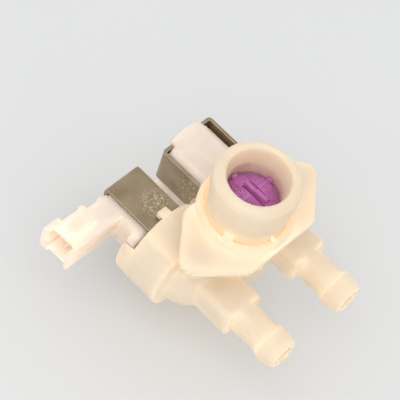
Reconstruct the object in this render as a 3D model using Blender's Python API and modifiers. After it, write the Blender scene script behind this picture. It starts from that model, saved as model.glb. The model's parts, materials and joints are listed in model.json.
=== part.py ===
"""Double solenoid inlet valve of a washing machine.

The moulded body takes water in at the top spigot and sends it through one of two pilot valves to two
hose tails. The valves lie side by side along +Y, their coils behind and their hose tails in front.
Metres, +Z up. The origin is on the inlet axis, in the flange face that seats on the machine's panel.
"""

import math

import bmesh
import bpy
from mathutils import Matrix, Vector

# Driving dimensions of the whole valve.
FIT = 0.0003  # gap between pieces that touch
OVERRUN = 0.001  # how far a cutter runs past the face it opens
AXIS_DROP = 0.0214  # from the flange face down to the valve axes
ROUND_STEPS = 36
SMALL_STEPS = 24
FILLET_STEPS = 3

# Inlet spigot, turned about the vertical axis. Heights are above the flange face.
SPIGOT_RADIUS = 0.0132
SPIGOT_FOOT_RADIUS = 0.0124
SPIGOT_FOOT = 0.0057
SPIGOT_HEIGHT = 0.0193
LIP_ROUNDING = 0.0021
MOUTH_RADIUS = 0.0094
MOUTH_EDGE = 0.0011
NECK_RADIUS = 0.0106
WELL_RADIUS = 0.0127
WELL_DEPTH = 0.0230
WELL_FLOOR_WALL = 0.0022
WELL_BORE_RADIUS = 0.0078
FILTER_SEAT_DEPTH = 0.0128  # from the rim to the ledge that the filter's rim sits on
LEDGE_WIDTH = 0.0009

# Flange and the collar round the spigot's foot.
FLANGE_HALF_LENGTH = 0.0300
FLANGE_CORNER_SPAN = 0.0142
FLANGE_HALF_WIDTH = 0.0134
FLANGE_SHIFT = -0.0019  # the flange sits a little in front of the inlet axis
FLANGE_THICKNESS = 0.0024
FLANGE_TIP_ROUNDING = 0.0040
FLANGE_CORNER_ROUNDING = 0.0015
COLLAR_RADIUS = 0.0149
COLLAR_WALL = 0.0020
COLLAR_HEIGHT = 0.0028
COLLAR_LUG_WIDTH = 0.0032
COLLAR_LUG_RISE = 0.0012
COLLAR_LUG_TURN = math.radians(197)
MOAT_RIB_TURN = math.radians(262)
MOAT_RIB_THICKNESS = 0.0009
BOSS_OFFSET = 0.0216
BOSS_RADIUS = 0.0043
BOSS_LENGTH = 0.0060

# Valve chambers. Places along a valve axis are Y distances from the inlet axis.
CHAMBER_RADIUS = 0.0141
DRUM_GAP = 0.0007  # between the two drums
DRUM_WEB_HALF_HEIGHT = 0.0036  # of the web that ties the drums together
BAND_RADIUS = 0.0150  # of the thicker wall on a drum's outward side
BAND_HALF_ANGLE = math.radians(55)
CHAMBER_REAR = 0.0160
CHAMBER_FRONT = 0.0025
CHAMBER_WALL = 0.0014
CHAMBER_RIM_STEP = 0.0009
DOME_RADIUS = 0.0113
DOME_LENGTH = 0.0110
FLOOR_WALL = 0.0021
SEAT_HEIGHT = 0.0034  # of the nozzle above the chamber floor
SHELF_RISE = 0.0004  # of the diaphragm's shelf above the seat
ANNULUS_INNER = 0.0048
ANNULUS_OUTER = 0.0110
OUTLET_BORE = 0.0032
SKIRT_LENGTH = 0.0037
SKIRT_WALL = 0.0014
SKIRT_HALF_ANGLE = math.radians(27)
HOOK_WIDTH = 0.0038
HOOK_LENGTH = 0.0027
HOOK_ROUNDING = 0.0005

# Hose tails and the square necks behind them.
TAIL_RISE = 0.0015  # of the hose tails' axes above the valve axes
NECK_HALF_WIDTH = 0.0068
NECK_HALF_HEIGHT = 0.0048
NECK_ROUNDING = 0.0016
NECK_END = -0.0190
TAIL_RADIUS = 0.0052
TAIL_BARB_RADIUS = 0.0056
TAIL_TIP_RADIUS = 0.0045
TAIL_SHOULDER = -0.0290
TAIL_END = -0.0361
TAIL_END_ROUNDING = 0.0007

# Diaphragm, its core, the bonnet with its guide tube, and the plunger.
DIAPHRAGM_PAD_RADIUS = 0.0062
DIAPHRAGM_PAD = 0.0015
DIAPHRAGM_HOLE = 0.0021
DIAPHRAGM_SKIN = 0.0007
DIAPHRAGM_BEAD = 0.0016
BEAD_WIDTH = 0.0019
CORE_RADIUS = 0.0056
CORE_THICKNESS = 0.0012
CORE_STEM_RADIUS = 0.0018
CORE_HEAD_RADIUS = 0.0026
CORE_HEAD = 0.0008
PILOT_RADIUS = 0.0005
CORE_LIFT = 0.0018
BONNET_TOP_WALL = 0.0014
BONNET_ROOM_RADIUS = 0.0092
GUIDE_WALL = 0.0006
GUIDE_END_WALL = 0.0009
PLUNGER_SHARE = 0.286  # of the steel frame's half width
PLUNGER_LENGTH = 0.0172
PLUNGER_TIP_RADIUS = 0.0021
PLUNGER_TIP = 0.0012
SEAL_RADIUS = 0.0011
SEAL_LENGTH = 0.0014
SPRING_POCKET_RADIUS = 0.0019
SPRING_POCKET_DEPTH = 0.0070
SPRING_RADIUS = 0.0013
SPRING_WIRE = 0.0002
SPRING_TURNS = 7

# Coil, its moulded cover with the plug socket, and the steel frame.
STRIP_WIDTH = 0.0133
STRIP_THICKNESS = 0.0010
FRAME_HALF_WIDTH = 0.0105
FRAME_REAR = 0.0351
FRAME_FRONT = 0.0163
FRAME_BEND = 0.0012
COVER_BULGE = 0.0003  # of the round cover past the flats that face the frame's legs
COVER_LIP = 0.0008  # by which the cover reaches past the frame's rear wall on both sides of it
COVER_WALL = 0.0008
BOBBIN_WALL = 0.0007
BOBBIN_FLANGE = 0.0010
SLEEVE_WALL = 0.0008
SLEEVE_LENGTH = 0.0058
WINDING_FILL_SHARE = 0.78  # of the bobbin's depth

# Plug socket, which stands out sideways from the coil cover.
SOCKET_REACH = 0.0300  # from the coil's axis to the mouth
SOCKET_TOP_CUTBACK = 0.0030
SOCKET_FLOOR_CUTBACK = 0.0012
SOCKET_HEIGHT = 0.0086
SOCKET_FRONT = 0.0255
SOCKET_REAR = 0.0372  # of the collar round the mouth
SOCKET_BODY_REAR = 0.0355
SOCKET_ROOT_REAR = 0.0340
SOCKET_COLLAR = 0.0063
SOCKET_BODY = 0.0150  # from the mouth to the narrower root
SOCKET_RIB_WIDTH = 0.0016
SOCKET_RIB_RISE = 0.0005
SOCKET_WALL = 0.0012
SOCKET_REAR_WALL = 0.0018
SOCKET_DEPTH = 0.0130
SOCKET_ROUNDING = 0.0005
KEY_PAD_START = 0.0249  # from the coil's axis
KEY_PAD_LENGTH = 0.0090
KEY_PAD_FRONT = 0.0293
KEY_PAD_WIDTH = 0.0045
KEY_PAD_RISE = 0.0006
KEY_PAD_ROUNDING = 0.0002
LATCH_SLIT_START = 0.0041  # from the mouth
LATCH_SLIT_WIDTH = 0.0004
LATCH_SLITS = (0.0279, 0.0311)
BLADE_WIDTH = 0.0022
BLADE_THICKNESS = 0.0008
BLADE_PITCH = 0.0044
BLADE_ROOT = 0.0060
BLADE_MOUTH_GAP = 0.0050

# Filter and flow regulator in the inlet.
FILTER_RADIUS = 0.0083
FILTER_RIM = 0.0016
FILTER_DOME_RISE = 0.0034
FILTER_WALL = 0.0008
FILTER_HOLE = 0.0010
FILTER_HOLE_PITCH = 0.0021
FILTER_SKIRT = 0.0050
FILTER_LUGS = 4
FILTER_LUG_HEIGHT = 0.0024
FILTER_LUG_WIDTH = 0.0018
FILTER_LUG_THICKNESS = 0.0012
FILTER_LUG_ROUNDING = 0.0003
GRIP_FRONT = -0.0056
GRIP_REAR = 0.0038
GRIP_STEP_PLACE = -0.0008
GRIP_STEP = 0.0004
GRIP_THICKNESS = 0.0016
GRIP_RISE = 0.0011  # of the fin above the dome
GRIP_FOOT = 0.0018  # depth of the fin's foot below the dome's top
GRIP_ROUNDING = 0.0004
REGULATOR_HEIGHT = 0.0032
REGULATOR_SLOTS = 6
REGULATOR_SLOT_WIDTH = 0.0016
REGULATOR_BORE = 0.0024
WASHER_THICKNESS = 0.0026
WASHER_BORE = 0.0021

# Places that follow from the sizes above.
VALVE_PITCH = 2 * CHAMBER_RADIUS + DRUM_GAP
CHAMBER_FLOOR = CHAMBER_FRONT + FLOOR_WALL
SEAT = CHAMBER_FLOOR + SEAT_HEIGHT
SHELF = SEAT + SHELF_RISE
CHAMBER_BORE = CHAMBER_RADIUS - CHAMBER_WALL
PAD_FRONT = SEAT + FIT
PAD_REAR = PAD_FRONT + DIAPHRAGM_PAD
BEAD_FRONT = SHELF + FIT
BEAD_REAR = BEAD_FRONT + DIAPHRAGM_BEAD
CORE_FRONT = PAD_REAR + FIT
CORE_REAR = CORE_FRONT + CORE_THICKNESS
BONNET_FRONT = BEAD_REAR + FIT
BONNET_ROOM_END = CORE_REAR + CORE_LIFT + FIT
BONNET_REAR = BONNET_ROOM_END + BONNET_TOP_WALL
PLUNGER_RADIUS = FRAME_HALF_WIDTH * PLUNGER_SHARE
GUIDE_BORE = PLUNGER_RADIUS + FIT
GUIDE_RADIUS = GUIDE_BORE + GUIDE_WALL
GUIDE_END = FRAME_REAR - STRIP_THICKNESS - FIT
SEAL_FRONT = CORE_REAR + FIT
PLUNGER_FRONT = SEAL_FRONT + FIT
PLUNGER_REAR = PLUNGER_FRONT + PLUNGER_LENGTH
FRAME_PLATE_FRONT = FRAME_FRONT + FIT
COVER_FRONT = FRAME_PLATE_FRONT + STRIP_THICKNESS + FIT
COVER_REAR = FRAME_REAR - STRIP_THICKNESS - FIT
COVER_LIP_REAR = FRAME_REAR + COVER_LIP
COVER_FLAT = FRAME_HALF_WIDTH - STRIP_THICKNESS - FIT
COVER_RADIUS = COVER_FLAT + COVER_BULGE
COVER_BORE = COVER_FLAT - COVER_WALL
COVER_END_WALL_FRONT = COVER_REAR - COVER_WALL
SLEEVE_BORE = GUIDE_RADIUS + FIT
SLEEVE_RADIUS = SLEEVE_BORE + SLEEVE_WALL
BOBBIN_BORE = SLEEVE_RADIUS + FIT
BOBBIN_RADIUS = BOBBIN_BORE + BOBBIN_WALL
BOBBIN_FRONT = COVER_FRONT + FIT
BOBBIN_REAR = COVER_END_WALL_FRONT - FIT
BOBBIN_FLANGE_RADIUS = COVER_BORE - FIT
SOCKET_TOP = -COVER_FLAT
SOCKET_MOUTH = -SOCKET_REACH
RIM = SPIGOT_HEIGHT
FILTER_LEDGE = RIM - FILTER_SEAT_DEPTH
FILTER_FOOT = FILTER_LEDGE + FIT
FILTER_BORE = FILTER_RADIUS + FIT
WELL_BOTTOM = -WELL_DEPTH
QUARTER = math.pi / 2

VALVES = {
    "left": {"x": -VALVE_PITCH / 2, "turn": 0.0, "outward": math.pi},
    "right": {"x": VALVE_PITCH / 2, "turn": -QUARTER, "outward": 0.0},
}

for old in list(bpy.data.objects):
    bpy.data.objects.remove(old, do_unlink=True)

PARTS = bpy.data.collections.new("inlet_valve")
CUTTERS = bpy.data.collections.new("cutters")
for made in (PARTS, CUTTERS):
    bpy.context.scene.collection.children.link(made)


def material(name, colour, roughness, metallic=0.0):
    made = bpy.data.materials.new(name)
    made.use_nodes = True
    shader = made.node_tree.nodes["Principled BSDF"]
    shader.inputs["Base Color"].default_value = (*colour, 1.0)
    shader.inputs["Roughness"].default_value = roughness
    shader.inputs["Metallic"].default_value = metallic
    made.diffuse_color = (*colour, 1.0)
    return made


BODY_PLASTIC = material("ivory_polypropylene", (0.86, 0.74, 0.56), 0.45)
COVER_PLASTIC = material("white_polyamide", (0.83, 0.80, 0.72), 0.50)
FILTER_PLASTIC = material("violet_polypropylene", (0.35, 0.12, 0.42), 0.45)
NATURAL_PLASTIC = material("natural_acetal", (0.80, 0.80, 0.76), 0.40)
ZINC_STEEL = material("zinc_plated_steel", (0.55, 0.52, 0.46), 0.35, 1.0)
SOFT_STEEL = material("magnetic_stainless_steel", (0.60, 0.60, 0.60), 0.30, 1.0)
COPPER = material("enamelled_copper", (0.55, 0.22, 0.10), 0.35, 1.0)
TINNED_BRASS = material("tinned_brass", (0.70, 0.68, 0.62), 0.30, 1.0)
BLACK_RUBBER = material("epdm_rubber", (0.03, 0.03, 0.03), 0.80)


def add_object(name, mesh, collection):
    made = bpy.data.objects.new(name, mesh)
    collection.objects.link(made)
    if collection is not PARTS:
        made.hide_render = True
        made.display_type = "WIRE"
    return made


def mesh_from(name, build):
    """A mesh that the function build fills through bmesh."""
    mesh = bpy.data.meshes.new(name)
    shape = bmesh.new()
    build(shape)
    bmesh.ops.recalc_face_normals(shape, faces=shape.faces)
    shape.to_mesh(mesh)
    shape.free()
    return mesh


def box(name, low, high, collection=CUTTERS, rounding=0.0):
    """A block between two corners, its edges rounded where rounding is given."""
    low, high = Vector(low), Vector(high)

    def build(shape):
        bmesh.ops.create_cube(shape, size=1.0)
        bmesh.ops.scale(shape, vec=high - low, verts=shape.verts)
        bmesh.ops.translate(shape, vec=(low + high) / 2, verts=shape.verts)

    made = add_object(name, mesh_from(name, build), collection)
    if rounding:
        bevel(made, rounding)
    return made


def cylinder(name, radius, low, high, collection=CUTTERS, steps=SMALL_STEPS, centre=(0.0, 0.0)):
    """A round bar along local Z."""

    def build(shape):
        place = Matrix.Translation((*centre, (low + high) / 2))
        bmesh.ops.create_cone(
            shape, cap_ends=True, segments=steps, radius1=radius, radius2=radius,
            depth=high - low, matrix=place,
        )

    return add_object(name, mesh_from(name, build), collection)


def turned(name, profile, collection=CUTTERS, steps=ROUND_STEPS):
    """A solid of revolution about local Z, from (radius, height) points that run down its outer side."""
    mesh = bpy.data.meshes.new(name)
    closed = profile[0][0] > 0 or profile[-1][0] > 0
    edges = [(i, i + 1) for i in range(len(profile) - 1)]
    if closed:
        edges.append((len(profile) - 1, 0))
    mesh.from_pydata([(r, 0.0, z) for r, z in profile], edges, [])
    made = add_object(name, mesh, collection)
    screw = made.modifiers.new("turn", "SCREW")
    screw.axis = "Z"
    screw.steps = screw.render_steps = steps
    screw.use_merge_vertices = True
    screw.merge_threshold = 0.00001
    return made


def arc(centre, radius, start, end, steps=FILLET_STEPS):
    """Points of an arc, both ends included. Angles are in degrees."""
    angles = [math.radians(start + (end - start) * i / steps) for i in range(steps + 1)]
    return [(centre[0] + radius * math.cos(a), centre[1] + radius * math.sin(a)) for a in angles]


def rounded(corners, radii, steps=FILLET_STEPS):
    """The outline with each corner replaced by an arc that touches both its sides."""
    outline = []
    count = len(corners)
    for i, radius in enumerate(radii):
        here = Vector(corners[i])
        back = (Vector(corners[i - 1]) - here).normalized()
        ahead = (Vector(corners[(i + 1) % count]) - here).normalized()
        if not radius:
            outline.append(tuple(here))
            continue
        half = back.angle(ahead) / 2
        first = here + back * radius / math.tan(half)
        last = here + ahead * radius / math.tan(half)
        centre = here + (back + ahead).normalized() * radius / math.sin(half)
        start = first - centre
        sweep = start.angle_signed(last - centre)
        for step in range(steps + 1):
            turn = Matrix.Rotation(-sweep * step / steps, 2)
            outline.append(tuple(centre + turn @ start))
    return outline


def prism(name, outline, low, high, collection=CUTTERS):
    """A flat outline in local XY, made thick from height low to height high."""
    curve = bpy.data.curves.new(name, "CURVE")
    curve.dimensions = "2D"
    curve.fill_mode = "BOTH"
    curve.extrude = (high - low) / 2
    spline = curve.splines.new("POLY")
    spline.points.add(len(outline) - 1)
    for point, (x, y) in zip(spline.points, outline):
        point.co = (x, y, 0.0, 1.0)
    spline.use_cyclic_u = True
    guide = add_object(name + "_outline", curve, CUTTERS)
    bpy.context.view_layer.update()
    graph = bpy.context.evaluated_depsgraph_get()
    mesh = bpy.data.meshes.new_from_object(guide.evaluated_get(graph))
    bpy.data.objects.remove(guide, do_unlink=True)
    shape = bmesh.new()
    shape.from_mesh(mesh)
    bmesh.ops.remove_doubles(shape, verts=shape.verts, dist=0.000001)
    bmesh.ops.translate(shape, vec=(0.0, 0.0, (low + high) / 2), verts=shape.verts)
    bmesh.ops.recalc_face_normals(shape, faces=shape.faces)
    shape.to_mesh(mesh)
    shape.free()
    return add_object(name, mesh, collection)


def bevel(made, width, segments=2):
    rounding = made.modifiers.new("rounding", "BEVEL")
    rounding.width = width
    rounding.segments = segments
    rounding.limit_method = "ANGLE"
    return rounding


def combine(made, others, operation):
    """Joins the other solids to this one, or cuts them from it, in one Boolean."""
    group = bpy.data.collections.new(made.name + "_" + operation.lower())
    CUTTERS.children.link(group)
    for other in others:
        for holder in list(other.users_collection):
            holder.objects.unlink(other)
        group.objects.link(other)
    boolean = made.modifiers.new(operation.lower(), "BOOLEAN")
    boolean.operation = operation
    boolean.operand_type = "COLLECTION"
    boolean.collection = group
    boolean.solver = "EXACT"
    return boolean


def finish(made, finish_material):
    """Gives a part its material and smooth shading, sharp at its real edges."""
    made.data.materials.clear()
    made.data.materials.append(finish_material)
    made.data.shade_smooth()
    made.data.set_sharp_from_angle(angle=math.radians(35))
    return made


def lay_back(made, x=0.0, z=-AXIS_DROP):
    """Turns a piece modelled along local Z to lie along +Y on a valve's axis."""
    made.rotation_euler = (-QUARTER, 0.0, 0.0)
    made.location = (x, 0.0, z)
    return made


def valve_frame(side):
    """An empty on a valve's axis: its local Z points along +Y, and local Y points down."""
    frame = bpy.data.objects.new("valve_axis_" + side, None)
    PARTS.objects.link(frame)
    frame.empty_display_size = CHAMBER_RADIUS
    return lay_back(frame, VALVES[side]["x"])


def seat_on(frame, made, turn=0.0):
    made.parent = frame
    made.rotation_euler = (0.0, 0.0, turn)
    return made


def chamber_outside(side):
    """Drum of one valve with its domed front, from its rear face forward."""
    step = CHAMBER_RIM_STEP
    dome = [
        (DOME_RADIUS * math.cos(a), CHAMBER_FRONT - DOME_LENGTH * math.sin(a))
        for a in (math.radians(i * 90 / (2 * FILLET_STEPS)) for i in range(2 * FILLET_STEPS + 1))
    ]
    dome[-1] = (0.0, dome[-1][1])
    profile = [
        (0.0, CHAMBER_REAR),
        (CHAMBER_RADIUS - step / 2, CHAMBER_REAR),
        (CHAMBER_RADIUS, CHAMBER_REAR - step / 2),
        (CHAMBER_RADIUS, CHAMBER_FRONT + step),
        (CHAMBER_RADIUS - step, CHAMBER_FRONT),
        (DOME_RADIUS + step / 2, CHAMBER_FRONT),
    ] + dome
    return lay_back(turned("drum_" + side, profile), VALVES[side]["x"])


def arc_wall(name, side, inner, outer, half_angle, low, high):
    """Curved wall on the outward side of one drum."""
    middle = VALVES[side]["outward"]
    start, end = math.degrees(middle - half_angle), math.degrees(middle + half_angle)
    outline = arc((0.0, 0.0), outer, start, end, 4 * FILLET_STEPS)
    outline += arc((0.0, 0.0), inner, end, start, 4 * FILLET_STEPS)
    return lay_back(prism(name + side, outline, low, high), VALVES[side]["x"])


def chamber_band(side):
    """Thicker wall along the whole drum."""
    step = CHAMBER_RIM_STEP
    inner = CHAMBER_RADIUS - CHAMBER_WALL / 2
    low, high = CHAMBER_FRONT + step, CHAMBER_REAR - step / 2
    return arc_wall("band_", side, inner, BAND_RADIUS, BAND_HALF_ANGLE, low, high)


def chamber_skirt(side):
    """Arc of wall that stands behind the drum and shields the coil's front end."""
    outer = BAND_RADIUS - CHAMBER_RIM_STEP / 2
    low, high = CHAMBER_REAR - OVERRUN, CHAMBER_REAR + SKIRT_LENGTH
    return arc_wall("skirt_", side, outer - SKIRT_WALL, outer, SKIRT_HALF_ANGLE, low, high)


def drum_web():
    """Web between the two drums."""
    half = (DRUM_GAP + CHAMBER_WALL) / 2
    low = (-half, CHAMBER_FRONT + CHAMBER_RIM_STEP, -AXIS_DROP - DRUM_WEB_HALF_HEIGHT)
    high = (half, CHAMBER_REAR - CHAMBER_RIM_STEP, -AXIS_DROP + DRUM_WEB_HALF_HEIGHT)
    return box("drum_web", low, high)


def frame_hook(side, sign):
    """Hook that grips the outside of the steel frame's leg."""
    inner = FRAME_HALF_WIDTH + FIT
    outer = CHAMBER_BORE + CHAMBER_WALL / 2
    low = (-HOOK_WIDTH / 2, inner, BONNET_REAR + FIT)
    high = (HOOK_WIDTH / 2, outer, CHAMBER_REAR + HOOK_LENGTH)
    made = box("hook_" + side, low, high, rounding=HOOK_ROUNDING)
    turn = VALVES[side]["turn"] + (0.0 if sign > 0 else math.pi)
    return seat_on(bpy.data.objects["valve_axis_" + side], made, turn)


def neck_block(side):
    """Square neck that carries the hose tail."""
    half, tall = NECK_HALF_WIDTH, NECK_HALF_HEIGHT
    corners = [(-half, -tall), (half, -tall), (half, tall), (-half, tall)]
    outline = rounded(corners, [NECK_ROUNDING] * len(corners))
    made = prism("neck_" + side, outline, NECK_END, CHAMBER_FRONT)
    return lay_back(made, VALVES[side]["x"], TAIL_RISE - AXIS_DROP)


def hose_tail(side):
    """Round tail with one barb, which the hose is pushed over."""
    edge = TAIL_END_ROUNDING
    profile = [
        (0.0, CHAMBER_FRONT),
        (TAIL_RADIUS, CHAMBER_FRONT),
        (TAIL_RADIUS, TAIL_SHOULDER),
        (TAIL_BARB_RADIUS, TAIL_SHOULDER),
        (TAIL_BARB_RADIUS, TAIL_SHOULDER - edge),
        (TAIL_TIP_RADIUS, TAIL_END + edge),
        (TAIL_TIP_RADIUS - edge, TAIL_END),
        (0.0, TAIL_END),
    ]
    made = turned("tail_" + side, profile, steps=SMALL_STEPS + FILLET_STEPS * 2)
    return lay_back(made, VALVES[side]["x"], TAIL_RISE - AXIS_DROP)


def chamber_hollow(side):
    """Water room behind the seat, the diaphragm's shelf and the bonnet's bore, as one cutter."""
    profile = [
        (0.0, CHAMBER_REAR + OVERRUN),
        (CHAMBER_BORE, CHAMBER_REAR + OVERRUN),
        (CHAMBER_BORE, SHELF),
        (ANNULUS_OUTER, SHELF),
        (ANNULUS_OUTER, CHAMBER_FLOOR),
        (ANNULUS_INNER, CHAMBER_FLOOR),
        (ANNULUS_INNER, SEAT),
        (OUTLET_BORE, SEAT),
        (OUTLET_BORE, -DOME_LENGTH / 2),
        (0.0, -DOME_LENGTH / 2),
    ]
    return lay_back(turned("chamber_hollow_" + side, profile), VALVES[side]["x"])


def outlet_bore(side):
    made = cylinder("outlet_bore_" + side, OUTLET_BORE, TAIL_END - OVERRUN, -DOME_LENGTH / 4)
    return lay_back(made, VALVES[side]["x"], TAIL_RISE - AXIS_DROP)


def inlet_outside():
    """Well, neck and spigot as one turned solid."""
    lip = LIP_ROUNDING
    outer_lip = arc((SPIGOT_RADIUS - lip, RIM - lip), lip, 90.0, 0.0)
    inner_lip = arc((MOUTH_RADIUS + MOUTH_EDGE, RIM - MOUTH_EDGE), MOUTH_EDGE, 180.0, 90.0)
    foot_edge = (SPIGOT_RADIUS - SPIGOT_FOOT_RADIUS) / 2
    profile = [(0.0, RIM - MOUTH_EDGE)] + inner_lip + outer_lip
    profile += [
        (SPIGOT_RADIUS, (RIM + SPIGOT_FOOT) / 2),
        (SPIGOT_FOOT_RADIUS, SPIGOT_FOOT + foot_edge),
        (SPIGOT_FOOT_RADIUS - foot_edge, SPIGOT_FOOT),
        (NECK_RADIUS, SPIGOT_FOOT),
        (NECK_RADIUS, -FLANGE_THICKNESS),
        (WELL_RADIUS, -FLANGE_THICKNESS),
        (WELL_RADIUS, WELL_BOTTOM + WELL_FLOOR_WALL),
        (WELL_RADIUS - WELL_FLOOR_WALL, WELL_BOTTOM),
        (0.0, WELL_BOTTOM),
    ]
    return turned("spigot_outside", profile)


def inlet_hollow():
    """Mouth, filter bore, ledge and well, cut from the spigot."""
    profile = [
        (0.0, RIM + OVERRUN),
        (MOUTH_RADIUS, RIM + OVERRUN),
        (MOUTH_RADIUS, RIM - MOUTH_EDGE),
        (FILTER_BORE, (RIM + FILTER_LEDGE) / 2),
        (FILTER_BORE, FILTER_LEDGE),
        (WELL_BORE_RADIUS, FILTER_LEDGE),
        (WELL_BORE_RADIUS, REGULATOR_SHELF),
        (WELL_BORE_RADIUS - LEDGE_WIDTH, REGULATOR_SHELF),
        (WELL_BORE_RADIUS - LEDGE_WIDTH, WELL_BOTTOM + WELL_FLOOR_WALL),
        (0.0, WELL_BOTTOM + WELL_FLOOR_WALL),
    ]
    return turned("inlet_hollow", profile)


def flange_plate():
    """Long hexagon that seats on the panel, its two tips rounded."""
    long, span, wide = FLANGE_HALF_LENGTH, FLANGE_CORNER_SPAN, FLANGE_HALF_WIDTH
    corners = [(long, 0.0), (span, wide), (-span, wide), (-long, 0.0), (-span, -wide), (span, -wide)]
    tip, side = FLANGE_TIP_ROUNDING, FLANGE_CORNER_ROUNDING
    outline = rounded(corners, [tip, side, side, tip, side, side])
    outline = [(x, y + FLANGE_SHIFT) for x, y in outline]
    return prism("flange", outline, -FLANGE_THICKNESS, 0.0)


def flange_boss(sign):
    centre = (sign * BOSS_OFFSET, FLANGE_SHIFT)
    return cylinder("flange_boss", BOSS_RADIUS, -BOSS_LENGTH, -FLANGE_THICKNESS / 2, centre=centre)


def collar_ring():
    """Raised ring that leaves a moat round the spigot's neck."""
    inner = COLLAR_RADIUS - COLLAR_WALL
    crown = COLLAR_WALL / 2
    top = arc((inner + crown, COLLAR_HEIGHT - crown), crown, 180.0, 0.0, 2 * FILLET_STEPS)
    profile = top + [(COLLAR_RADIUS, -FLANGE_THICKNESS / 2), (inner, -FLANGE_THICKNESS / 2)]
    return turned("collar", profile)


def moat_piece(name, turn, thickness, top):
    """A radial rib from the neck to the collar."""
    low = (NECK_RADIUS - MOAT_RIB_THICKNESS, -thickness / 2, -FLANGE_THICKNESS / 2)
    high = (COLLAR_RADIUS - COLLAR_WALL / 4, thickness / 2, top)
    made = box(name, low, high, rounding=thickness / 4)
    made.rotation_euler = (0.0, 0.0, turn)
    return made


def valve_body():
    body = chamber_outside("left")
    for holder in list(body.users_collection):
        holder.objects.unlink(body)
    PARTS.objects.link(body)
    body.name = "valve_body"
    body.hide_render = False
    body.display_type = "TEXTURED"
    joined = [chamber_outside("right"), inlet_outside(), flange_plate(), collar_ring()]
    joined += [flange_boss(-1), flange_boss(1)]
    lug_top = COLLAR_HEIGHT + COLLAR_LUG_RISE
    joined += [
        moat_piece("collar_lug", COLLAR_LUG_TURN, COLLAR_LUG_WIDTH, lug_top),
        moat_piece("moat_rib", MOAT_RIB_TURN, MOAT_RIB_THICKNESS, COLLAR_HEIGHT),
        drum_web(),
    ]
    for side in VALVES:
        joined += [neck_block(side), hose_tail(side), chamber_band(side), chamber_skirt(side)]
        joined += [frame_hook(side, 1), frame_hook(side, -1)]
    cut = [inlet_hollow()]
    for side in VALVES:
        cut += [chamber_hollow(side), outlet_bore(side)]
    combine(body, joined, "UNION")
    combine(body, cut, "DIFFERENCE")
    return finish(body, BODY_PLASTIC)


def diaphragm(side, frame):
    """Rubber diaphragm: pad over the seat, thin skin, and the bead clamped on the shelf."""
    bead_radius = CHAMBER_BORE - FIT
    skin_front = (PAD_FRONT + PAD_REAR - DIAPHRAGM_SKIN) / 2
    skin_rear = skin_front + DIAPHRAGM_SKIN
    profile = [
        (DIAPHRAGM_HOLE, PAD_REAR),
        (DIAPHRAGM_PAD_RADIUS, PAD_REAR),
        (DIAPHRAGM_PAD_RADIUS + DIAPHRAGM_SKIN, skin_rear),
        (bead_radius - BEAD_WIDTH, skin_rear),
        (bead_radius - BEAD_WIDTH, BEAD_REAR),
        (bead_radius, BEAD_REAR),
        (bead_radius, BEAD_FRONT),
        (ANNULUS_OUTER - FIT, BEAD_FRONT),
        (ANNULUS_OUTER - FIT - DIAPHRAGM_SKIN, skin_front),
        (DIAPHRAGM_PAD_RADIUS + DIAPHRAGM_SKIN, skin_front),
        (DIAPHRAGM_PAD_RADIUS, PAD_FRONT),
        (DIAPHRAGM_HOLE, PAD_FRONT),
    ]
    made = turned("diaphragm_" + side, profile, PARTS, SMALL_STEPS)
    return finish(seat_on(frame, made), BLACK_RUBBER)


def diaphragm_core(side, frame):
    """Plastic insert that carries the pilot hole and stiffens the diaphragm's middle."""
    head_rear = PAD_FRONT - FIT
    profile = [
        (PILOT_RADIUS, CORE_REAR),
        (CORE_RADIUS, CORE_REAR),
        (CORE_RADIUS, CORE_FRONT),
        (CORE_STEM_RADIUS, CORE_FRONT),
        (CORE_STEM_RADIUS, head_rear),
        (CORE_HEAD_RADIUS, head_rear),
        (CORE_HEAD_RADIUS - CORE_HEAD / 2, head_rear - CORE_HEAD),
        (PILOT_RADIUS, head_rear - CORE_HEAD),
    ]
    made = turned("diaphragm_core_" + side, profile, PARTS, SMALL_STEPS)
    return finish(seat_on(frame, made), NATURAL_PLASTIC)


def bonnet(side, frame):
    """Cap that clamps the diaphragm, with the closed guide tube that the plunger slides in."""
    radius = CHAMBER_BORE - FIT
    room = BONNET_ROOM_RADIUS
    profile = [
        (0.0, GUIDE_END),
        (GUIDE_RADIUS - GUIDE_WALL, GUIDE_END),
        (GUIDE_RADIUS, GUIDE_END - GUIDE_WALL),
        (GUIDE_RADIUS, BONNET_REAR),
        (radius, BONNET_REAR),
        (radius, BONNET_FRONT),
        (room, BONNET_FRONT),
        (room, BONNET_ROOM_END),
        (GUIDE_BORE, BONNET_ROOM_END),
        (GUIDE_BORE, GUIDE_END - GUIDE_END_WALL),
        (0.0, GUIDE_END - GUIDE_END_WALL),
    ]
    made = turned("bonnet_" + side, profile, PARTS, SMALL_STEPS)
    return finish(seat_on(frame, made), NATURAL_PLASTIC)


def plunger(side, frame):
    """Soft-iron plunger with the spring's pocket behind and the seal's pocket in front."""
    pocket_floor = PLUNGER_REAR - SPRING_POCKET_DEPTH
    seal_pocket = SEAL_RADIUS + FIT
    seal_floor = SEAL_FRONT + SEAL_LENGTH + FIT
    profile = [
        (SPRING_POCKET_RADIUS, PLUNGER_REAR),
        (PLUNGER_RADIUS, PLUNGER_REAR),
        (PLUNGER_RADIUS, PLUNGER_FRONT + PLUNGER_TIP),
        (PLUNGER_TIP_RADIUS, PLUNGER_FRONT),
        (seal_pocket, PLUNGER_FRONT),
        (seal_pocket, seal_floor),
        (0.0, seal_floor),
        (0.0, pocket_floor),
        (SPRING_POCKET_RADIUS, pocket_floor),
    ]
    made = turned("plunger_" + side, profile, PARTS, SMALL_STEPS)
    return finish(seat_on(frame, made), SOFT_STEEL)


def plunger_seal(side, frame):
    made = cylinder(
        "plunger_seal_" + side, SEAL_RADIUS, SEAL_FRONT, SEAL_FRONT + SEAL_LENGTH, PARTS,
        SMALL_STEPS // 2,
    )
    return finish(seat_on(frame, made), BLACK_RUBBER)


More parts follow.
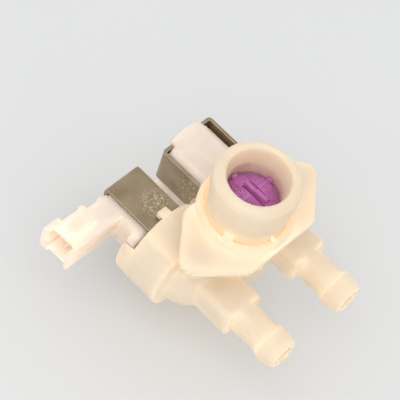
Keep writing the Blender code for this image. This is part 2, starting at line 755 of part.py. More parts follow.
def plunger_spring(side, frame):
    """Return spring between the plunger's pocket and the closed end of the guide tube."""
    low = PLUNGER_REAR - SPRING_POCKET_DEPTH + FIT + SPRING_WIRE
    high = GUIDE_END - GUIDE_END_WALL - FIT - SPRING_WIRE
    per_turn = 8
    curve = bpy.data.curves.new("plunger_spring_" + side, "CURVE")
    curve.dimensions = "3D"
    curve.bevel_depth = SPRING_WIRE
    curve.bevel_resolution = 0
    curve.use_fill_caps = True
    spline = curve.splines.new("POLY")
    count = SPRING_TURNS * per_turn + 1
    spline.points.add(count - 1)
    for i, point in enumerate(spline.points):
        turn = 2 * math.pi * i / per_turn
        height = low + (high - low) * i / (count - 1)
        point.co = (SPRING_RADIUS * math.cos(turn), SPRING_RADIUS * math.sin(turn), height, 1.0)
    made = add_object("plunger_spring_" + side, curve, PARTS)
    curve.materials.append(SOFT_STEEL)
    return seat_on(frame, made)


def pole_sleeve(side, frame, end, low):
    """Steel tube that leads the magnetic flux from the frame into the coil."""
    profile = [
        (SLEEVE_BORE, low + SLEEVE_LENGTH),
        (SLEEVE_RADIUS, low + SLEEVE_LENGTH),
        (SLEEVE_RADIUS, low),
        (SLEEVE_BORE, low),
    ]
    made = turned("pole_sleeve_" + end + "_" + side, profile, PARTS, SMALL_STEPS)
    return finish(seat_on(frame, made), SOFT_STEEL)


def coil_bobbin(side, frame):
    """Reel with two flanges that the wire is wound on."""
    front = BOBBIN_FRONT + BOBBIN_FLANGE
    rear = BOBBIN_REAR - BOBBIN_FLANGE
    profile = [
        (BOBBIN_BORE, BOBBIN_REAR),
        (BOBBIN_FLANGE_RADIUS, BOBBIN_REAR),
        (BOBBIN_FLANGE_RADIUS, rear),
        (BOBBIN_RADIUS, rear),
        (BOBBIN_RADIUS, front),
        (BOBBIN_FLANGE_RADIUS, front),
        (BOBBIN_FLANGE_RADIUS, BOBBIN_FRONT),
        (BOBBIN_BORE, BOBBIN_FRONT),
    ]
    made = turned("coil_bobbin_" + side, profile, PARTS, SMALL_STEPS)
    return finish(seat_on(frame, made), COVER_PLASTIC)


def coil_winding(side, frame):
    inner = BOBBIN_RADIUS + FIT
    low = BOBBIN_FRONT + BOBBIN_FLANGE + FIT
    high = BOBBIN_REAR - BOBBIN_FLANGE - FIT
    outer = inner + WINDING_FILL_SHARE * (BOBBIN_FLANGE_RADIUS - inner)
    profile = [(inner, high), (outer, high), (outer, low), (inner, low)]
    made = turned("coil_winding_" + side, profile, PARTS, SMALL_STEPS)
    return finish(seat_on(frame, made), COPPER)


def socket_solids(tag):
    """Plug socket with its collar at the mouth, latch rib and narrower root, and the key pad on it."""
    top, bottom = SOCKET_TOP, SOCKET_TOP + SOCKET_HEIGHT
    root = -STRIP_WIDTH / 2 - 2 * FIT
    collar_end, body_end = SOCKET_MOUTH + SOCKET_COLLAR, SOCKET_MOUTH + SOCKET_BODY
    rib_rear = SOCKET_BODY_REAR + SOCKET_RIB_RISE
    outline = [
        (SOCKET_MOUTH, SOCKET_FRONT),
        (root, SOCKET_FRONT),
        (root, SOCKET_ROOT_REAR),
        (body_end, SOCKET_ROOT_REAR),
        (body_end, rib_rear),
        (body_end - SOCKET_RIB_WIDTH, rib_rear),
        (body_end - SOCKET_RIB_WIDTH, SOCKET_BODY_REAR),
        (collar_end, SOCKET_BODY_REAR),
        (collar_end, SOCKET_REAR),
        (SOCKET_MOUTH, SOCKET_REAR),
    ]
    block = prism("socket" + tag, outline, -bottom, -top)
    block.data.transform(Matrix.Rotation(QUARTER, 4, "X"))
    bevel(block, SOCKET_ROUNDING / 2)
    pad_low = (-KEY_PAD_START, top - KEY_PAD_RISE, KEY_PAD_FRONT)
    pad_high = (-KEY_PAD_START + KEY_PAD_LENGTH, top + SOCKET_WALL / 2, KEY_PAD_FRONT + KEY_PAD_WIDTH)
    return [block, box("key_pad" + tag, pad_low, pad_high, rounding=KEY_PAD_ROUNDING)]


def socket_cutters(tag):
    """Room of the plug socket with its cut-back edges, latch slits and blade slots."""
    top, bottom = SOCKET_TOP, SOCKET_TOP + SOCKET_HEIGHT
    wall = SOCKET_WALL
    outside = SOCKET_MOUTH - OVERRUN
    room_front, room_rear = SOCKET_FRONT + wall, SOCKET_BODY_REAR - wall
    collar_rear = SOCKET_REAR - SOCKET_REAR_WALL
    room_end = SOCKET_MOUTH + SOCKET_DEPTH
    blocks = {
        "room": ((outside, top + wall, room_front), (room_end, bottom - wall, room_rear)),
        "recess": (
            (outside, top + wall + FIT, room_rear - wall),
            (SOCKET_MOUTH + SOCKET_COLLAR - wall, top + SOCKET_HEIGHT / 2, collar_rear),
        ),
        "top_cutback": (
            (outside, top - OVERRUN, room_front),
            (SOCKET_MOUTH + SOCKET_TOP_CUTBACK, top + 2 * wall, collar_rear),
        ),
        "floor_cutback": (
            (outside, top + SOCKET_HEIGHT / 2, room_front + FIT),
            (SOCKET_MOUTH + SOCKET_FLOOR_CUTBACK, bottom + OVERRUN, room_rear - FIT),
        ),
    }
    for place in LATCH_SLITS:
        blocks["slit_" + str(place)] = (
            (SOCKET_MOUTH + LATCH_SLIT_START, bottom - wall - OVERRUN, place - LATCH_SLIT_WIDTH / 2),
            (room_end - wall, bottom + OVERRUN, place + LATCH_SLIT_WIDTH / 2),
        )
    gap = Vector((FIT, FIT, FIT))
    for sign in (-1, 1):
        low, high = blade_corners(sign)
        blocks["blade_slot_" + str(sign)] = (Vector(low) - gap, Vector(high) + gap)
    return [box("socket_" + place + tag, *corners) for place, corners in blocks.items()]


def coil_cover(side, frame, turn):
    """Moulded cover over the winding, one piece with the plug socket that stands out sideways."""
    tag = "_" + side
    edge = COVER_WALL / 2
    profile = [
        (0.0, COVER_LIP_REAR),
        (COVER_RADIUS - edge, COVER_LIP_REAR),
        (COVER_RADIUS, COVER_LIP_REAR - edge),
        (COVER_RADIUS, COVER_FRONT),
        (0.0, COVER_FRONT),
    ]
    made = turned("coil_cover" + tag, profile, PARTS, ROUND_STEPS)
    winding_room = [
        (0.0, COVER_END_WALL_FRONT),
        (COVER_BORE, COVER_END_WALL_FRONT),
        (COVER_BORE, COVER_FRONT - OVERRUN),
        (0.0, COVER_FRONT - OVERRUN),
    ]
    half, outside = STRIP_WIDTH / 2 + FIT, COVER_RADIUS + OVERRUN
    front, rear = COVER_FRONT - OVERRUN, COVER_LIP_REAR + OVERRUN
    cut = [
        turned("winding_room" + tag, winding_room),
        cylinder("rear_hole" + tag, BOBBIN_BORE, COVER_END_WALL_FRONT - OVERRUN, COVER_REAR + OVERRUN),
        box("frame_room" + tag, (-half, -outside, COVER_REAR), (half, outside, rear)),
        box("upper_flat" + tag, (-half / 2, -outside, front), (half / 2, -COVER_FLAT, rear)),
        box("lower_flat" + tag, (-half / 2, COVER_FLAT, front), (half / 2, outside, rear)),
    ]
    solids = socket_solids(tag)
    cut += socket_cutters(tag)
    for piece in solids + cut:
        seat_on(frame, piece, turn)
    combine(made, solids, "UNION")
    combine(made, cut, "DIFFERENCE")
    return finish(seat_on(frame, made, turn), COVER_PLASTIC)


def blade_corners(sign):
    """Low and high corner of one terminal blade, in the coil's own frame."""
    middle = (SOCKET_FRONT + SOCKET_BODY_REAR + sign * BLADE_PITCH) / 2
    height = SOCKET_TOP + SOCKET_HEIGHT / 2
    root = SOCKET_MOUTH + SOCKET_DEPTH + BLADE_ROOT
    low = (SOCKET_MOUTH + BLADE_MOUTH_GAP, height - BLADE_THICKNESS / 2, middle - BLADE_WIDTH / 2)
    high = (root, height + BLADE_THICKNESS / 2, middle + BLADE_WIDTH / 2)
    return low, high


def terminal_blade(side, frame, turn, place, sign):
    low, high = blade_corners(sign)
    made = box("terminal_" + place + "_" + side, low, high, PARTS, BLADE_THICKNESS / 4)
    return finish(seat_on(frame, made, turn), TINNED_BRASS)


def frame_strip(side, frame, turn):
    """Steel strip bent into a U round the coil, open to the front."""
    outer, inner = FRAME_HALF_WIDTH, FRAME_HALF_WIDTH - STRIP_THICKNESS
    rear, bend = FRAME_REAR, FRAME_BEND
    outside = rounded(
        [(-outer, FRAME_FRONT), (-outer, rear), (outer, rear), (outer, FRAME_FRONT)],
        [0.0, bend, bend, 0.0],
    )
    inside = rounded(
        [
            (inner, FRAME_FRONT),
            (inner, rear - STRIP_THICKNESS),
            (-inner, rear - STRIP_THICKNESS),
            (-inner, FRAME_FRONT),
        ],
        [0.0, bend - STRIP_THICKNESS, bend - STRIP_THICKNESS, 0.0],
    )
    made = prism("coil_frame_" + side, outside + inside, -STRIP_WIDTH / 2, STRIP_WIDTH / 2, PARTS)
    made.data.transform(Matrix(((0, 0, 1, 0), (1, 0, 0, 0), (0, 1, 0, 0), (0, 0, 0, 1))))
    return finish(seat_on(frame, made, turn), ZINC_STEEL)


def frame_plate(side, frame, turn):
    """Flat steel plate that closes the frame's front and passes the guide tube."""
    half = FRAME_HALF_WIDTH - STRIP_THICKNESS - FIT
    rear = FRAME_PLATE_FRONT + STRIP_THICKNESS
    low = (-STRIP_WIDTH / 2, -half, FRAME_PLATE_FRONT)
    made = box("frame_plate_" + side, low, (STRIP_WIDTH / 2, half, rear), PARTS)
    hole = cylinder("plate_hole_" + side, SLEEVE_BORE, low[2] - OVERRUN, rear + OVERRUN)
    seat_on(frame, hole)
    combine(made, [hole], "DIFFERENCE")
    return finish(seat_on(frame, made, turn), ZINC_STEEL)


def inlet_filter():
    """Domed strainer with a grip fin across it, pushed into the spigot."""
    foot, rim = FILTER_FOOT, FILTER_FOOT + FILTER_RIM
    inner = WELL_BORE_RADIUS - FIT
    dome_steps = FILLET_STEPS
    crown = [
        (
            (FILTER_RADIUS - FILTER_WALL) * math.sin(QUARTER * i / dome_steps),
            rim + FILTER_DOME_RISE * math.cos(QUARTER * i / dome_steps),
        )
        for i in range(dome_steps + 1)
    ]
    under = [
        (max(r - FILTER_WALL, 0.0), z - FILTER_WALL) for r, z in reversed(crown[:-1])
    ]
    profile = crown + [
        (FILTER_RADIUS, rim),
        (FILTER_RADIUS, foot),
        (inner, foot),
        (inner, foot - FILTER_SKIRT),
        (inner - FILTER_WALL, foot - FILTER_SKIRT),
        (inner - FILTER_WALL, rim - FILTER_WALL),
    ] + under
    made = turned("inlet_filter", profile, PARTS, ROUND_STEPS)
    half, top = GRIP_THICKNESS / 2, rim + FILTER_DOME_RISE
    added = [
        box("grip_" + part, (-half, low, top - GRIP_FOOT), (half, high, crest), rounding=GRIP_ROUNDING)
        for part, low, high, crest in (
            ("front", GRIP_FRONT, GRIP_STEP_PLACE + half, top + GRIP_RISE),
            ("rear", GRIP_STEP_PLACE, GRIP_REAR, top + GRIP_RISE - GRIP_STEP),
        )
    ]
    added += [filter_lug(rim, 2 * math.pi * i / FILTER_LUGS) for i in range(FILTER_LUGS)]
    combine(made, filter_holes(rim), "DIFFERENCE")
    combine(made, added, "UNION")
    return finish(made, FILTER_PLASTIC)


def filter_lug(rim, turn):
    """Lug that stands on the strainer's rim."""
    outer = FILTER_RADIUS - FIT
    low = (outer - FILTER_LUG_THICKNESS, -FILTER_LUG_WIDTH / 2, rim - FILTER_RIM / 2)
    high = (outer, FILTER_LUG_WIDTH / 2, rim + FILTER_LUG_HEIGHT)
    made = box("filter_lug", low, high, rounding=FILTER_LUG_ROUNDING)
    made.rotation_euler = (0.0, 0.0, turn)
    return made


def filter_holes(rim):
    """Square holes of the strainer, in rows that leave the grip's foot solid."""
    reach = FILTER_RADIUS - 2 * FILTER_WALL
    count = int(reach / FILTER_HOLE_PITCH)
    holes = []
    for column in range(-count, count + 1):
        for row in range(-count, count + 1):
            x, y = column * FILTER_HOLE_PITCH, row * FILTER_HOLE_PITCH
            if column == 0 or math.hypot(x, y) > reach - FILTER_HOLE:
                continue
            half = FILTER_HOLE / 2
            holes.append(
                box(
                    "strainer_hole",
                    (x - half, y - half, rim - FILTER_DOME_RISE),
                    (x + half, y + half, rim + 2 * FILTER_DOME_RISE),
                )
            )
    return holes


REGULATOR_TOP = FILTER_FOOT - FILTER_SKIRT - FIT
WASHER_BASE = REGULATOR_TOP - WASHER_THICKNESS
REGULATOR_BASE = WASHER_BASE - FIT - REGULATOR_HEIGHT
REGULATOR_SHELF = REGULATOR_BASE - FIT


def flow_washer():
    """Rubber washer that throttles the flow by bulging into the regulator's recesses."""
    outer = WELL_BORE_RADIUS - FIT
    profile = [
        (WASHER_BORE, REGULATOR_TOP),
        (outer, REGULATOR_TOP),
        (outer, WASHER_BASE),
        (WASHER_BORE, WASHER_BASE),
    ]
    return finish(turned("flow_washer", profile, PARTS, SMALL_STEPS), BLACK_RUBBER)


def flow_regulator():
    """Plastic disc under the washer, with radial slots round a central bore."""
    outer = WELL_BORE_RADIUS - FIT
    top = REGULATOR_BASE + REGULATOR_HEIGHT
    profile = [
        (REGULATOR_BORE, top),
        (outer, top),
        (outer, REGULATOR_BASE),
        (REGULATOR_BORE, REGULATOR_BASE),
    ]
    made = turned("flow_regulator", profile, PARTS, SMALL_STEPS)
    slots = []
    for i in range(REGULATOR_SLOTS):
        low = (REGULATOR_BORE / 2, -REGULATOR_SLOT_WIDTH / 2, top - REGULATOR_HEIGHT / 3)
        high = (outer - LEDGE_WIDTH, REGULATOR_SLOT_WIDTH / 2, top + OVERRUN)
        slot = box("regulator_slot", low, high)
        slot.rotation_euler = (0.0, 0.0, 2 * math.pi * i / REGULATOR_SLOTS)
        slots.append(slot)
    combine(made, slots, "DIFFERENCE")
    return finish(made, NATURAL_PLASTIC)


def coil_set(side):
    """Everything that sits on one valve axis behind and inside the body."""
    frame = bpy.data.objects["valve_axis_" + side]
    turn = VALVES[side]["turn"]
    diaphragm(side, frame)
    diaphragm_core(side, frame)
    bonnet(side, frame)
    plunger(side, frame)
    plunger_seal(side, frame)
    plunger_spring(side, frame)
    pole_sleeve(side, frame, "front", COVER_FRONT)
    pole_sleeve(side, frame, "rear", COVER_REAR - SLEEVE_LENGTH)
    coil_bobbin(side, frame)
    coil_winding(side, frame)
    coil_cover(side, frame, turn)
    terminal_blade(side, frame, turn, "front", -1)
    terminal_blade(side, frame, turn, "rear", 1)
    frame_strip(side, frame, turn)
    frame_plate(side, frame, turn)


for name in VALVES:
    valve_frame(name)
bpy.context.view_layer.update()
valve_body()
inlet_filter()
flow_washer()
flow_regulator()
for name in VALVES:
    coil_set(name)
bpy.context.view_layer.update()
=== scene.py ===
"""The look of a washing machine inlet valve with two coils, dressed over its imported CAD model."""

import json
import math

import bpy
from mathutils import Euler, Matrix, Vector

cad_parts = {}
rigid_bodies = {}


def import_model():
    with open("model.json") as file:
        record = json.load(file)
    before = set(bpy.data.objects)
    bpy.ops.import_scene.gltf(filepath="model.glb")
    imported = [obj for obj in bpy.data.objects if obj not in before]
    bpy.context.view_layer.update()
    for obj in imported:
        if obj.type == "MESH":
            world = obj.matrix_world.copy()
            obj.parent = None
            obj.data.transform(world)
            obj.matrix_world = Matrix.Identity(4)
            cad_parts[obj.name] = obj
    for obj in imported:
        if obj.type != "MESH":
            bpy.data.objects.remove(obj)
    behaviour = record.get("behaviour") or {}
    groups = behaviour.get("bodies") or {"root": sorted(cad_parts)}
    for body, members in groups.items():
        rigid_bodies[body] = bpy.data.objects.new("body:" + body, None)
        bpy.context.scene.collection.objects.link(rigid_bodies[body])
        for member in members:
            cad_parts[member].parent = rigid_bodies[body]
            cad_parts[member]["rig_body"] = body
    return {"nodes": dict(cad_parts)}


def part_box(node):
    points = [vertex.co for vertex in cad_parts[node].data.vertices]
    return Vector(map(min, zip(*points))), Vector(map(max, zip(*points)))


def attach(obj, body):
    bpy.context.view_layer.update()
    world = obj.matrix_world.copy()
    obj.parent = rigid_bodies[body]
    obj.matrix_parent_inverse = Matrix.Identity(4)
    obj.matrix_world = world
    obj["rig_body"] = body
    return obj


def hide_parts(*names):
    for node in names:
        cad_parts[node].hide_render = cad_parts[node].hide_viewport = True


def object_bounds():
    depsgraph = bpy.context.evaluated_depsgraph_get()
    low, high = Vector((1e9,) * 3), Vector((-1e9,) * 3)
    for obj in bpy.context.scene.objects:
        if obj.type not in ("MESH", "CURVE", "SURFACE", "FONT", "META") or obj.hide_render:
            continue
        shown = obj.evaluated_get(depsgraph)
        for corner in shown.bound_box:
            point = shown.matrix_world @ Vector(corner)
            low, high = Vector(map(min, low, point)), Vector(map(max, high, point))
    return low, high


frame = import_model()
cad_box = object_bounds()


# The valve body is one ivory polypropylene moulding: spigot, flange, both drums and both hose tails.
# It is injection moulded without pigment, so light sinks a little way in and comes out warmer, and its
# skin is smooth with the fine grain of the tool.

MM = 0.001
SMOOTH_UNDER = math.radians(32)  # facets that meet at less than this are one curved face
FLAT_LEAD = 80  # how much the large faces lead the shading of the small ones beside them
WELD = 0.002 * MM
NOISE_LOW, NOISE_HIGH = 0.35, 0.65  # most of a noise lies between these
EDGE_SAMPLES = 6


def linear(hex_colour):
    """An sRGB hex value as the linear colour that a shader takes."""
    parts = [int(hex_colour[i : i + 2], 16) / 255 for i in (1, 3, 5)]
    return (*(p / 12.92 if p <= 0.04045 else ((p + 0.055) / 1.055) ** 2.4 for p in parts), 1.0)


def new_material(name):
    """An empty material: its node tree, its shader and the object's own coordinates."""
    made = bpy.data.materials.new(name)
    made.use_nodes = True
    tree = made.node_tree
    shader = tree.nodes["Principled BSDF"]
    place = add_node(tree, "TexCoord").outputs["Object"]
    return made, tree, shader, place


def add_node(tree, kind, inputs=None, **settings):
    """Adds a node with its settings. An input takes a value, or another node's output to link."""
    made = tree.nodes.new("ShaderNode" + kind)
    for name, value in settings.items():
        setattr(made, name, value)
    set_inputs(tree, made, inputs or {})
    return made


def set_inputs(tree, node, inputs):
    """Sets a node's inputs by name or number, to values or to other nodes' outputs."""
    for name, value in inputs.items():
        if isinstance(value, bpy.types.NodeSocket):
            tree.links.new(value, node.inputs[name])
        else:
            node.inputs[name].default_value = value


PLASTIC_IOR = 1.49
TOOL_GRAIN = 0.35 * MM
TOOL_GRAIN_HEIGHT = 0.012 * MM
GRAIN_STRENGTH = 0.5
GLOSSIER, DULLER = 0.05, 0.07  # how far the grain takes the roughness down and up
SINKS_TO = 5.0 * MM
SINKS_BY_COLOUR = (1.0, 0.88, 0.7)  # red light sinks in deepest, which warms thin edges


def moulded_plastic(name, skin, depth, roughness, sinks, patch=9.0, edge=0.25):
    """Injection-moulded plastic, with the fine grain of the tool. It drifts between the colours skin and
    depth over patches of that size, and edge rounds its corners, both in mm. Sinks is the share of the
    light that sinks in."""
    made, tree, shader, place = new_material(name)
    drift = add_node(tree, "TexNoise", {"Vector": place, "Scale": 1 / (patch * MM), "Detail": 3.0})
    spread = add_node(
        tree,
        "MapRange",
        {"Value": drift.outputs["Fac"], "From Min": NOISE_LOW, "From Max": NOISE_HIGH},
    )
    colour = add_node(
        tree,
        "MixRGB",
        {"Fac": spread.outputs["Result"], "Color1": linear(skin), "Color2": linear(depth)},
    )
    grain = add_node(tree, "TexNoise", {"Vector": place, "Scale": 1 / TOOL_GRAIN, "Detail": 2.0})
    gloss = add_node(
        tree,
        "MapRange",
        {
            "Value": grain.outputs["Fac"],
            "To Min": roughness - GLOSSIER,
            "To Max": roughness + DULLER,
        },
    )
    corner = add_node(tree, "Bevel", {"Radius": edge * MM}, samples=EDGE_SAMPLES)
    relief = add_node(
        tree,
        "Bump",
        {
            "Height": grain.outputs["Fac"],
            "Strength": GRAIN_STRENGTH,
            "Distance": TOOL_GRAIN_HEIGHT,
            "Normal": corner.outputs["Normal"],
        },
    )
    shader.subsurface_method = "BURLEY"
    set_inputs(
        tree,
        shader,
        {
            "Base Color": colour.outputs["Color"],
            "Roughness": gloss.outputs["Result"],
            "Normal": relief.outputs["Normal"],
            "IOR": PLASTIC_IOR,
            "Subsurface Weight": sinks,
            "Subsurface Radius": SINKS_BY_COLOUR,
            "Subsurface Scale": SINKS_TO,
        },
    )
    return made


def wear(piece, finish):
    """The piece has this one material."""
    piece.data.materials.clear()
    piece.data.materials.append(finish)


def select_only(piece):
    """Only this piece is selected, and it is the active one."""
    bpy.ops.object.select_all(action="DESELECT")
    piece.select_set(True)
    bpy.context.view_layer.objects.active = piece


def dressed_copy(node, name):
    """A smooth-shaded copy of a CAD node, free of its body, with its loose triangles joined."""
    source = frame["nodes"][node]
    piece = source.copy()
    piece.data = source.data.copy()
    piece.name = piece.data.name = name
    for key in list(piece.keys()):
        if key.startswith("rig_"):
            del piece[key]
    bpy.context.scene.collection.objects.link(piece)
    piece.parent = None
    piece.matrix_world = Matrix.Identity(4)
    select_only(piece)
    bpy.ops.object.mode_set(mode="EDIT")
    bpy.ops.mesh.select_all(action="SELECT")
    bpy.ops.mesh.remove_doubles(threshold=WELD)
    bpy.ops.object.mode_set(mode="OBJECT")
    even_shading(piece)
    return piece


def apply_modifier(piece, kind, **settings):
    """Adds a modifier with its settings and applies it."""
    made = piece.modifiers.new(kind.lower(), kind)
    for name, value in settings.items():
        setattr(made, name, value)
    select_only(piece)
    bpy.ops.object.modifier_apply(modifier=made.name)


def even_shading(piece):
    """Smooth shading with sharp real edges, led by the large faces so that flats stay flat."""
    select_only(piece)
    bpy.ops.object.shade_smooth_by_angle(angle=SMOOTH_UNDER)
    apply_modifier(piece, "WEIGHTED_NORMAL", keep_sharp=True, weight=FLAT_LEAD)


def source_body(node):
    """The name of the body that a CAD node moves with."""
    return frame["nodes"][node]["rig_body"]


def stand_for(piece, node):
    """The piece rides on the node's body and replaces the node."""
    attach(piece, source_body(node))
    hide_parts(node)


def settle(piece):
    """Leaves edit mode and moves the object's place into its mesh."""
    if bpy.context.mode != "OBJECT":
        bpy.ops.object.mode_set(mode="OBJECT")
    select_only(piece)
    bpy.ops.object.transform_apply(location=True, rotation=True, scale=True)
    return piece


def boolean(piece, other, operation):
    """Joins the other solid to the piece, or cuts it from the piece."""
    apply_modifier(piece, "BOOLEAN", operation=operation, object=other, solver="EXACT")
    bpy.data.objects.remove(other, do_unlink=True)


def block(low, high, name, rounding=0.0, segments=3):
    """A block between two corners, with its edges rounded if a rounding is given."""
    bpy.ops.object.select_all(action="DESELECT")
    bpy.ops.mesh.primitive_cube_add(size=1, location=[(a + b) / 2 for a, b in zip(low, high)])
    piece = bpy.context.object
    piece.name = name
    piece.scale = [b - a for a, b in zip(low, high)]
    settle(piece)
    if rounding:
        apply_modifier(piece, "BEVEL", width=rounding, segments=segments)
    return piece


def raised(outline, name, segments=96):
    """A round solid about the inlet axis, extruded from each radius and height to the next one up."""
    bpy.ops.object.select_all(action="DESELECT")
    radius, height = outline[0]
    bpy.ops.mesh.primitive_circle_add(
        vertices=segments, radius=radius, fill_type="NGON", location=(0, 0, height)
    )
    piece = settle(bpy.context.object)
    piece.name = name
    bpy.ops.object.mode_set(mode="EDIT")
    bpy.ops.mesh.select_all(action="SELECT")
    for (r0, z0), (r1, z1) in zip(outline, outline[1:]):
        bpy.ops.mesh.extrude_region_move(TRANSFORM_OT_translate={"value": (0, 0, z1 - z0)})
        bpy.ops.transform.resize(value=(r1 / r0, r1 / r0, 1), center_override=(0, 0, z1))
    bpy.ops.mesh.select_all(action="SELECT")
    bpy.ops.mesh.normals_make_consistent(inside=False)
    bpy.ops.object.mode_set(mode="OBJECT")
    return piece


VALVE_X = 14.45 * MM
AXIS_DROP = 21.4 * MM  # of the valve axes under the flange's top
CLEAR = 1 * MM  # how far a cutting tool runs past what it cuts

body = dressed_copy("valve_body", "moulded_valve_body")

# Each hose tail comes out of a square neck with soft corners and ends in a blunt barb.
TAIL_RISE = 1.5 * MM  # of the tails' axes above the valve axes
TAIL_TIP = -36.1 * MM
TAIL_SEGMENTS = 64
NECK_HALF = (6.6 * MM, 5.3 * MM)
NECK_FRONT = -19.05 * MM
NECK_REAR = -4.0 * MM
NECK_ROUNDING = 1.9 * MM
BARB = [  # radius, and distance from the tail's tip
    (4.65 * MM, 0.02 * MM),
    (5.4 * MM, 1.3 * MM),
    (5.85 * MM, 3.0 * MM),
    (6.05 * MM, 5.6 * MM),
    (5.7 * MM, 5.9 * MM),
]
BARB_BORE = 4.0 * MM  # inside the tail's own wall
for sign in (-1, 1):
    middle = (sign * VALVE_X, TAIL_RISE - AXIS_DROP)
    low = (middle[0] - NECK_HALF[0], NECK_FRONT, middle[1] - NECK_HALF[1])
    high = (middle[0] + NECK_HALF[0], NECK_REAR, middle[1] + NECK_HALF[1])
    boolean(body, block(low, high, "neck", rounding=NECK_ROUNDING, segments=5), "UNION")
    barb = raised(BARB, "barb", TAIL_SEGMENTS)
    bore = raised([(BARB_BORE, -CLEAR), (BARB_BORE, BARB[-1][1] + CLEAR)], "barb_bore", TAIL_SEGMENTS)
    boolean(barb, bore, "DIFFERENCE")
    tip = Matrix.Translation((middle[0], TAIL_TIP, middle[1]))
    barb.matrix_world = tip @ Matrix.Rotation(-math.pi / 2, 4, "X")
    boolean(body, settle(barb), "UNION")

# The moat round the spigot's neck is shallow and the neck stout. A liner fills the spigot's top, for the
# bowl to be cut from.
MOAT_NECK = 11.9 * MM
MOAT_OUTER = 13.2 * MM
MOAT_FOOT = -1.0 * MM
MOAT_FLOOR = 1.3 * MM
NECK_FOOT = -0.5 * MM
SPIGOT_FOOT = 5.9 * MM
SPIGOT_RIM = 19.3 * MM
SPIGOT_BORE = 9.5 * MM
LINER_RADIUS = 11.6 * MM
LINER_FOOT = 12.0 * MM
LINER_TOP = SPIGOT_RIM - 0.1 * MM
liner = raised([(LINER_RADIUS, LINER_FOOT), (LINER_RADIUS, LINER_TOP)], "liner")
boolean(body, liner, "UNION")
moat = raised([(MOAT_OUTER, MOAT_FOOT), (MOAT_OUTER, MOAT_FLOOR)], "moat_floor")
neck = raised([(MOAT_NECK, NECK_FOOT), (MOAT_NECK, SPIGOT_FOOT)], "spigot_neck")
bore = raised([(SPIGOT_BORE, MOAT_FOOT - 2 * CLEAR), (SPIGOT_BORE, SPIGOT_RIM)], "spigot_bore")
boolean(moat, neck, "UNION")
boolean(moat, bore, "DIFFERENCE")
boolean(body, moat, "UNION")

# The spigot opens in a bowl with a soft lip, and its rim is rounded down to the outside.
BOWL = [  # radius and height of the bowl's wall, from the strainer up over the lip
    (8.45 * MM, 11.0 * MM),
    (8.45 * MM, 13.2 * MM),
    (8.8 * MM, 14.6 * MM),
    (9.2 * MM, 16.4 * MM),
    (9.5 * MM, 18.0 * MM),
    (9.62 * MM, 18.6 * MM),
    (9.8 * MM, 18.95 * MM),
    (10.1 * MM, 19.18 * MM),
    (10.45 * MM, 19.27 * MM),
    (10.45 * MM, 20.3 * MM),
]
RIM_CREST = 10.4 * MM
RIM_FALL = (2.85 * MM, 3.0 * MM)  # outwards and down
RIM_STEPS = 12
RIM_REACH = 16 * MM
boolean(body, raised(BOWL, "bowl"), "DIFFERENCE")
turns = [math.pi / 2 * i / RIM_STEPS for i in range(RIM_STEPS + 1)]
rounded = [
    (RIM_CREST + RIM_FALL[0] * math.cos(a), SPIGOT_RIM - RIM_FALL[1] * (1 - math.sin(a)))
    for a in turns
]
foot = (rounded[0][0], SPIGOT_RIM - 2 * RIM_FALL[1])
core = raised([foot] + rounded + [(RIM_CREST, SPIGOT_RIM + 2 * CLEAR)], "rim_core")
rim_ring = raised([(RIM_REACH, rounded[0][1]), (RIM_REACH, SPIGOT_RIM + CLEAR)], "rim_ring")
boolean(rim_ring, core, "DIFFERENCE")
boolean(body, rim_ring, "DIFFERENCE")

# Where the melt ran into the mould it left a small round mark, on the well's wall and on each dome.
GATE_RADIUS = 0.5 * MM
GATE_RISE = 0.35 * MM
GATES = {  # place and direction
    "well": ((-1.6 * MM, -12.6 * MM, -14.6 * MM), (-0.12, -0.99, 0)),
    "left_dome": ((-21.98 * MM, -0.46 * MM, -13.54 * MM), (-0.66, -0.27, 0.70)),
    "right_dome": ((21.98 * MM, -0.46 * MM, -13.54 * MM), (0.66, -0.27, 0.70)),
}
for where, (centre, normal) in GATES.items():
    bpy.ops.object.select_all(action="DESELECT")
    bpy.ops.mesh.primitive_cylinder_add(
        vertices=24,
        radius=GATE_RADIUS,
        depth=2 * GATE_RISE,
        location=centre,
        rotation=Vector(normal).to_track_quat("Z", "Y").to_euler(),
    )
    gate = settle(bpy.context.object)
    gate.name = "gate_mark_" + where
    apply_modifier(gate, "BEVEL", width=0.5 * GATE_RISE, segments=3)
    boolean(body, gate, "UNION")
even_shading(body)

# Natural polypropylene is waxy and half clear, so thin walls let light through and hollows stay light.
IVORY = moulded_plastic("natural_polypropylene_moulded", "#F9E8CF", "#F6E1C4", 0.42, 1.0)
wear(body, IVORY)
stand_for(body, "valve_body")


# The strainer is a small violet polypropylene moulding with a domed grid and a fin to pull it out by.
# It is pushed into the spigot's bowl and rests on a ledge there. Its square holes run straight down, as
# the mould opens, and leave a solid arm across the dome and a solid ring at the rim.

STRAINER_RADIUS = 8.3 * MM
STRAINER_DOME_RADIUS = 7.5 * MM
STRAINER_DOME_RISE = 3.4 * MM
STRAINER_RIM = 1.6 * MM
STRAINER_SHELL = 0.8 * MM
STRAINER_DOME_RINGS = 12
COLLAR_EDGE = 0.2 * MM
GRID_PITCH = 0.8 * MM
GRID_HOLE = 0.42 * MM
GRID_REACH = 6.7 * MM
GRID_ARM_HALF = 0.75 * MM
PULL_SLOT_WIDTH = 1.1 * MM
PULL_SLOT_DEPTH = 1.9 * MM
PULL_SLOT_CORNER = 0.3 * MM
FIN_HALF = 0.65 * MM
FIN_FRONT = -5.3 * MM
FIN_REAR = 3.8 * MM
FIN_TAPER = 0.4 * MM  # its rear part is this much lower, and its slots end this much short of it
FIN_STEP = -0.8 * MM
FIN_RISE = 1.1 * MM
FIN_ROOT = 1.8 * MM  # how deep it stands in the dome
FIN_EDGE = 0.35 * MM
FIN_BORDER = 0.25 * MM
FIN_HOLLOW = 0.12 * MM
LUG_SIZE = (1.2 * MM, 1.9 * MM, 3.0 * MM)
